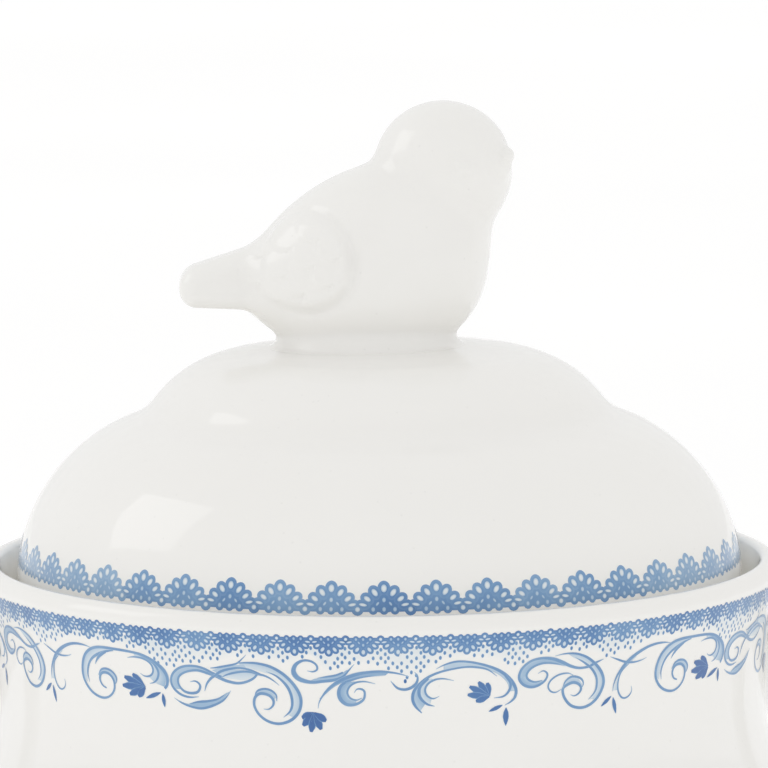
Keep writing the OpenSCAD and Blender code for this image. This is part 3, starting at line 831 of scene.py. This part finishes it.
def sculpt(name, solid, node, margin, step, material):
    """A mesh of the surface on which solid(points) is zero, with each point and normal settled on it.

    It is searched for in the box of a CAD node, with a margin, on a grid of the given step."""
    low, high = box_mm(node)
    low, high = low - margin, high + margin
    sides = [np.arange(a, b, step) for a, b in zip(low, high)]
    grid = openvdb.FloatGrid(2.0)
    slabs = [solid(np.stack(np.meshgrid([x], *sides[1:], indexing="ij"), axis=-1)) for x in sides[0]]
    grid.copyFromArray(np.concatenate(slabs).astype(np.float32))
    points, quads = grid.convertToQuads(isovalue=0.0)
    points = low + points.astype(float) * step
    for _ in range(3):
        value, slope = solid(points), gradient(solid, points)
        size = np.maximum((slope**2).sum(axis=1), 0.25)
        points = points - slope * (np.clip(value, -step, step) / size)[:, None]
    normals = gradient(solid, points)
    normals /= np.linalg.norm(normals, axis=1)[:, None]
    thing = new_object(name, points, quads.tolist(), material)
    thing.data.normals_split_custom_set_from_vertices(normals.tolist())
    settled = thing.data.attributes.new("settled", "FLOAT_VECTOR", "POINT")
    settled.data.foreach_set("vector", normals.ravel())
    return thing


def mirrored(thing, name):
    """A copy of a piece on the other side of the YZ plane."""
    mesh = thing.data
    flip = np.array([-1, 1, 1])
    points = np.array([v.co for v in mesh.vertices]) / MM * flip
    normals = np.zeros(len(points) * 3)
    mesh.attributes["settled"].data.foreach_get("vector", normals)
    copy = new_object(name, points, [tuple(f.vertices)[::-1] for f in mesh.polygons], mesh.materials[0])
    copy.data.normals_split_custom_set_from_vertices((normals.reshape(-1, 3) * flip).tolist())
    return copy


def gradient(solid, points, reach=0.04):
    """Which way, and how steeply, the distance to a solid grows."""
    steps = np.eye(3) * reach
    return np.stack([(solid(points + d) - solid(points - d)) / (2 * reach) for d in steps], axis=-1)


# ---------------------------------------------------------------- the bird, as one soft solid

HEAD = np.array([8.95, 0, 54.05])
HEAD_TURN = math.radians(-28)
EYE_TURN = math.radians(47)
BACK_SLOPE = math.radians(36)
TAIL_ROOT = -12
TAIL_LENGTH = 14.8
WING_X, WING_Z = -11.2, 42.5
FEATHER = 0.26
FEATHER_LEAN = math.radians(48)
COLLAR_R = 12.0
COLLAR_TOP = 32.8
BIRD_GRID = 0.34
BIRD_MARGIN = np.array([2, 5, 2])


def tilted(p, centre, angle):
    """Points seen from a centre, turned about the Y axis by an angle."""
    q = p - np.array(centre)
    c, s = math.cos(angle), math.sin(angle)
    return np.stack([q[..., 0] * c + q[..., 2] * s, q[..., 1], q[..., 2] * c - q[..., 0] * s], axis=-1)


def bird_tail(p):
    """A straight, blunt tail, deeper at its root, with round edges."""
    t = np.clip((TAIL_ROOT - p[..., 0]) / TAIL_LENGTH, 0, 1)
    edge = 2.2
    up = p[..., 2] - (40.5 - 2.05 * t)
    q = np.stack([
        np.abs(p[..., 0] + 18.1) - 8.5,
        np.abs(p[..., 1]) - (4.8 - 1.0 * t - 0.25 * up),
        np.abs(up) - (5.0 - 2.6 * t),
    ], axis=-1) + edge
    return np.linalg.norm(np.maximum(q, 0), axis=-1) + np.minimum(np.max(q, axis=-1), 0) - edge


def bird_face(p):
    """The head with its short two-part beak and an eye on each side, turned a little to the front."""
    c, s = math.cos(HEAD_TURN), math.sin(HEAD_TURN)
    q = p - HEAD
    q = np.stack([q[..., 0] * c + q[..., 1] * s, q[..., 1] * c - q[..., 0] * s, q[..., 2]], axis=-1)
    skull = oval(q, (0, 0, 0), (9.4, 8.8, 9.1))

    # A shallow ring round the beak's root
    off = np.hypot(q[..., 1] / 1.15, q[..., 2] - 1.2)
    skull = skull + 0.2 * np.exp(-(((off - 2.9) / 0.8) ** 2)) * (q[..., 0] > 0)
    lower = taper(q, (6.4, 0, 0.4), (8.75, 0, 0.55), 2.2, 1.1, 1.25)
    upper = taper(q, (6.3, 0, 2.5), (9.0, 0, 1.95), 3.0, 1.25, 1.3)
    face = blend(blend(skull, lower, 0.7), upper, 0.4)

    # Each eye is a bead in a shallow ring
    for side in (1, -1):
        eye = 8.35 * np.array([math.cos(EYE_TURN), side * math.sin(EYE_TURN), 0.08])
        off = np.linalg.norm(q - eye, axis=-1)
        face = face + 0.1 * np.exp(-(((off - 1.6) / 0.6) ** 2))
        face = blend(face, off - 1.1, 0.7)
    return face


def wing_relief(p):
    """How far a wing and its rows of feathers stand out from the flank."""
    x, z = p[..., 0] - WING_X, p[..., 2] - WING_Z
    shape = np.hypot(x / 6.7, z / (5.7 + 0.12 * x))
    along = -(x - 5.0) * math.cos(FEATHER_LEAN) - (z - 2.0) * math.sin(FEATHER_LEAN)
    across = z * math.cos(FEATHER_LEAN) - x * math.sin(FEATHER_LEAN)
    pitch, wide = 3.3, 3.5
    feathers = along * FEATHER / pitch
    for row in range(5):
        edge = pitch * (row + 0.6) - 1.5 * (2 * np.mod(across / wide + 0.5 * (row % 2), 1) - 1) ** 2
        feathers = feathers - FEATHER * ease(edge - 0.7, edge + 0.7, along)
    front = ease(-5.5, 4.0, x)
    rise = ease(1.2, 0.86, shape) * (0.3 + 0.5 * front + feathers)
    groove = 0.3 * front * np.exp(-(((shape - 1.14) / 0.12) ** 2))
    return (rise - groove) * ease(2.5, 5.0, np.abs(p[..., 1]))


def bird_solid(p):
    """The distance to the whole bird, from points in mm above the middle of the lip."""
    back = oval(tilted(p, (-5.2, 0, 44.2), BACK_SLOPE), (0, 0, 0), (14.8, 10.8, 7.95))
    breast = oval(p, (3.7, 0, 42.1), (11.1, 11.4, 10.9))
    belly = oval(p, (-1.7, 0, 38.7), (15.4, 11.9, 10.4))
    throat = taper(p, (8.7, 0, 52.4), (4.2, 0, 43.7), 8.4, 10.15)
    body = blend(blend(blend(back, breast, 1.6), belly, 1.6), throat, 2.4)
    body = blend(body, bird_tail(p), 1.8) - wing_relief(p)
    return blend(body, bird_face(p), 1.2)


def bird_on_lid(p):
    """The hollow bird on its low collar, in the row's frame, with a fillet down to the lid's crown."""
    q = p - np.array([0, 0, LIP_C[1]])
    collar = -blend(COLLAR_R - np.hypot(q[..., 0] + 1.5, q[..., 1] * 1.1), COLLAR_TOP - q[..., 2], 1.8)
    bird = blend(bird_solid(q), collar, 1.0)
    crown_c, crown = lid_curves()[0][:2]
    top = np.linalg.norm(p - np.array([0, 0, crown_c[1]]), axis=-1) - crown
    mouth = np.maximum(np.hypot(q[..., 0], q[..., 1]) - 4, q[..., 2] - 42)
    hollow = np.minimum(oval(q, (-0.5, 0, 42.5), (9.5, 7.5, 6.5)), mouth)
    return np.maximum(luted(bird, top, 2.0), -hollow)


# ---------------------------------------------------------------- the handles

HANDLE_T = 6.4
HANDLE_W = 9.0
HANDLE_GRID = 0.45
HANDLE_MARGIN = 3
ROOT_SPREAD = 42


def bezier(points, t):
    a, b, c, d = np.array(points, float)
    t = np.asarray(t)[:, None]
    return a * (1 - t) ** 3 + 3 * b * t * (1 - t) ** 2 + 3 * c * t**2 * (1 - t) + d * t**3


def handle_line():
    """The handle's centreline in the XZ plane, from the neck out and down to the belly."""
    neck_z = LIP_C[1] - NECK_DROP
    reach = handle_high[0] - HANDLE_T / 2
    top = np.array([NECK_R - 1.9, neck_z])
    low = np.array([BELLY_R - 1.9, bowl_curves()[3][1] + 2.3])
    upper = [top, top + [11, 8.5], [reach, neck_z + 6], [reach, neck_z - 6]]
    lower = [[reach, neck_z - 6], [reach, neck_z - 15], low + [9, -2.5], low]
    t = np.linspace(0, 1, 26)
    return np.concatenate([bezier(upper, t), bezier(lower, t)[1:]])


def handle_on_bowl(p):
    """A looped oval bar whose roots widen and run into the bowl's neck and belly."""
    line_xz = handle_line()
    flat = np.stack([p[..., 0], p[..., 2]], axis=-1)
    side = p[..., 1] * HANDLE_T / HANDLE_W
    bar = np.full(p.shape[:-1], 1e3)
    for start, end in zip(line_xz, line_xz[1:]):
        run = end - start
        t = np.clip((flat - start) @ run / (run @ run), 0, 1)
        off = flat - start - t[..., None] * run
        bar = np.minimum(bar, np.sqrt((off**2).sum(axis=-1) + side**2))
    roots = ((1.5, line_xz[0]), (0.8, line_xz[-1]))
    flare = sum(grow * np.exp(-((flat - root) ** 2).sum(axis=-1) / ROOT_SPREAD) for grow, root in roots)
    bar = bar - HANDLE_T / 2 - flare
    rows = bowl_outside()
    radius = np.hypot(p[..., 0], p[..., 1])
    lean = np.interp(p[..., 2], rows[:, 1], np.gradient(rows[:, 0], rows[:, 1]))
    wall = (radius - np.interp(p[..., 2], rows[:, 1], rows[:, 0])) / np.sqrt(1 + lean**2)
    return luted(bar, wall, 2.6)


# ---------------------------------------------------------------- camera, light and floor

CAMERA_RISE = 8.8
CAMERA_RANGE = 900.0
FRAME_WIDTH = 103.2
AIM_UP = 25.05
AIM_RIGHT = 0.8
CAMERA_ROLL = 0.43
WORLD_LIGHT = 0.846
WORLD_SLOPE = 0.12
BRIGHT_SIDE = (-0.38, 0.42, 0.82)
WINDOW_PLACE = (-1.045, 0.157, 0.86)
WINDOW_TOP = (0.11, -0.92, 0.37)
WINDOW_SIZE = (0.6, 0.62)
WINDOW_LIGHT = 0.75
FLOOR_GLOW = 0.2
FLOOR_HALF = 7000.0


def add_camera():
    """The camera at the photograph's angle: a long lens a little above the lid, rolled a touch."""
    a, e = math.radians(VIEW_AZIMUTH), math.radians(CAMERA_RISE)
    right = np.array([math.cos(a), math.sin(a), 0])
    away = np.array([-math.sin(a), math.cos(a), 0])
    foot = np.array([0, 0, LIP_C[1]])
    rise = np.array([0, 0, CAMERA_RANGE * math.sin(e)])
    place = foot - away * CAMERA_RANGE * math.cos(e) + rise + right * AIM_RIGHT
    aim = foot + np.array([0, 0, AIM_UP]) + right * AIM_RIGHT
    forward = (aim - place) / np.linalg.norm(aim - place)
    side = np.cross(forward, [0, 0, 1])
    side /= np.linalg.norm(side)
    up = np.cross(side, forward)
    roll = math.radians(CAMERA_ROLL)
    side, up = side * math.cos(roll) - up * math.sin(roll), up * math.cos(roll) + side * math.sin(roll)
    data = bpy.data.cameras.new("camera")
    data.sensor_width = 36.0
    data.lens = data.sensor_width * np.linalg.norm(aim - place) / FRAME_WIDTH
    data.clip_start, data.clip_end = 0.05, 40.0
    camera = bpy.data.objects.new("camera", data)
    bpy.context.scene.collection.objects.link(camera)
    turn = Matrix([[side[i], up[i], -forward[i]] for i in range(3)]).to_4x4()
    camera.matrix_world = Matrix.Translation((place * MM).tolist()) @ turn
    bpy.context.scene.camera = camera


def add_window():
    """A bright pane that only shows in the glaze, and lights nothing else."""
    data = bpy.data.lights.new("window", "AREA")
    data.shape = "RECTANGLE"
    data.size, data.size_y = WINDOW_SIZE
    data.energy = WINDOW_LIGHT * math.pi * WINDOW_SIZE[0] * WINDOW_SIZE[1]
    lamp = bpy.data.objects.new("window", data)
    bpy.context.scene.collection.objects.link(lamp)
    lamp.visible_diffuse = False
    out = np.array(WINDOW_PLACE) / np.linalg.norm(WINDOW_PLACE)
    side = np.array(WINDOW_TOP) - np.dot(WINDOW_TOP, out) * out
    side /= np.linalg.norm(side)
    turn = np.stack([side, np.cross(out, side), out], axis=1)
    lamp.matrix_world = Matrix.Translation(WINDOW_PLACE) @ Matrix(turn.tolist()).to_4x4()


def add_world():
    """White surroundings, a little brighter from the upper left, and plain white behind the object."""
    world = bpy.data.worlds.new("studio")
    bpy.context.scene.world = world
    world.use_nodes = True
    nodes = world.node_tree.nodes
    add, link = tools_of(world.node_tree)
    lit = nodes["Background"]
    lit.inputs["Color"].default_value = (1, 0.998, 0.994, 1)
    towards = add("ShaderNodeTexCoord").outputs["Generated"]
    side = add("ShaderNodeVectorMath", operation="DOT_PRODUCT")
    side.inputs[1].default_value = BRIGHT_SIDE
    least, most = WORLD_LIGHT * (1 - WORLD_SLOPE), WORLD_LIGHT * (1 + WORLD_SLOPE)
    strength = add("ShaderNodeMapRange", **{"From Min": -1.0, "To Min": least, "To Max": most})
    seen = add("ShaderNodeBackground", Color=(1, 1, 1, 1), Strength=1.05)
    path = add("ShaderNodeLightPath").outputs["Is Camera Ray"]
    mix = add("ShaderNodeMixShader")
    link(towards, side.inputs[0])
    link(side.outputs["Value"], strength.inputs["Value"])
    link(strength.outputs["Result"], lit.inputs["Strength"])
    link(path, mix.inputs["Fac"])
    link(lit.outputs["Background"], mix.inputs[1])
    link(seen.outputs["Background"], mix.inputs[2])
    link(mix.outputs["Shader"], nodes["World Output"].inputs["Surface"])


def add_floor():
    """A plain pale floor under the foot ring."""
    material, shader, add, link, place = new_material("floor_white")
    shader.inputs["Roughness"].default_value = 0.9
    shader.inputs["Emission Color"].default_value = (1, 1, 1, 1)
    shader.inputs["Emission Strength"].default_value = FLOOR_GLOW
    clouds = add("ShaderNodeTexNoise", Scale=3.0, Detail=2.0)
    tone = add("ShaderNodeValToRGB")
    for stop, grey in zip(tone.color_ramp.elements, (0.86, 0.9)):
        stop.color = (grey, grey, grey, 1)
    link(place, clouds.inputs["Vector"])
    link(clouds.outputs["Fac"], tone.inputs["Fac"])
    link(tone.outputs["Color"], shader.inputs["Base Color"])
    corners = [(-1, -1, 0), (1, -1, 0), (1, 1, 0), (-1, 1, 0)]
    floor = new_object("floor", FLOOR_HALF * np.array(corners), [(0, 1, 2, 3)], material)


# ---------------------------------------------------------------- the scene

add_camera()
add_world()
add_floor()
add_window()
bpy.context.scene.view_settings.view_transform = "Standard"
bpy.context.scene.cycles.max_bounces = 16
bpy.context.scene.cycles.diffuse_bounces = 12

porcelain = porcelain_material()

bowl = lathe("bowl_glazed", np.concatenate([bowl_underside(), bowl_outside(), bowl_inside()]), porcelain)
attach(bowl, "bowl")
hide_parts("bowl_body")

ink = ink_material()
flare, flare_c = bowl_curves()[:2]
for name, drawing in (("bowl_lace_print", draw_bowl_lace()), ("bowl_scroll_print", draw_scrolls())):
    wrap(name, drawing, SCROLL_RUNS, RIM_R, BAND_TOP, -1, flare_c, flare, -1, ink, "bowl")
dome_c, dome = lid_curves()[3][:2]
wrap("lid_lace_print", draw_lid_lace(), 1, LID_R, LID_BAND, 1, dome_c, dome, 1, ink, "lid")

lid = lathe("lid_glazed", np.concatenate([lid_outside(), lid_inside()]), porcelain)
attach(lid, "lid")
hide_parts("lid")

bird = sculpt("bird_sculpted", bird_on_lid, "bird_finial", BIRD_MARGIN, BIRD_GRID, porcelain)
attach(bird, "lid")
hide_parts("bird_finial")

handle = sculpt("handle_right_luted", handle_on_bowl, "handle_right", HANDLE_MARGIN, HANDLE_GRID, porcelain)
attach(handle, "bowl")
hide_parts("handle_right")

other = mirrored(handle, "handle_left_luted")
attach(other, "bowl")
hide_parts("handle_left")
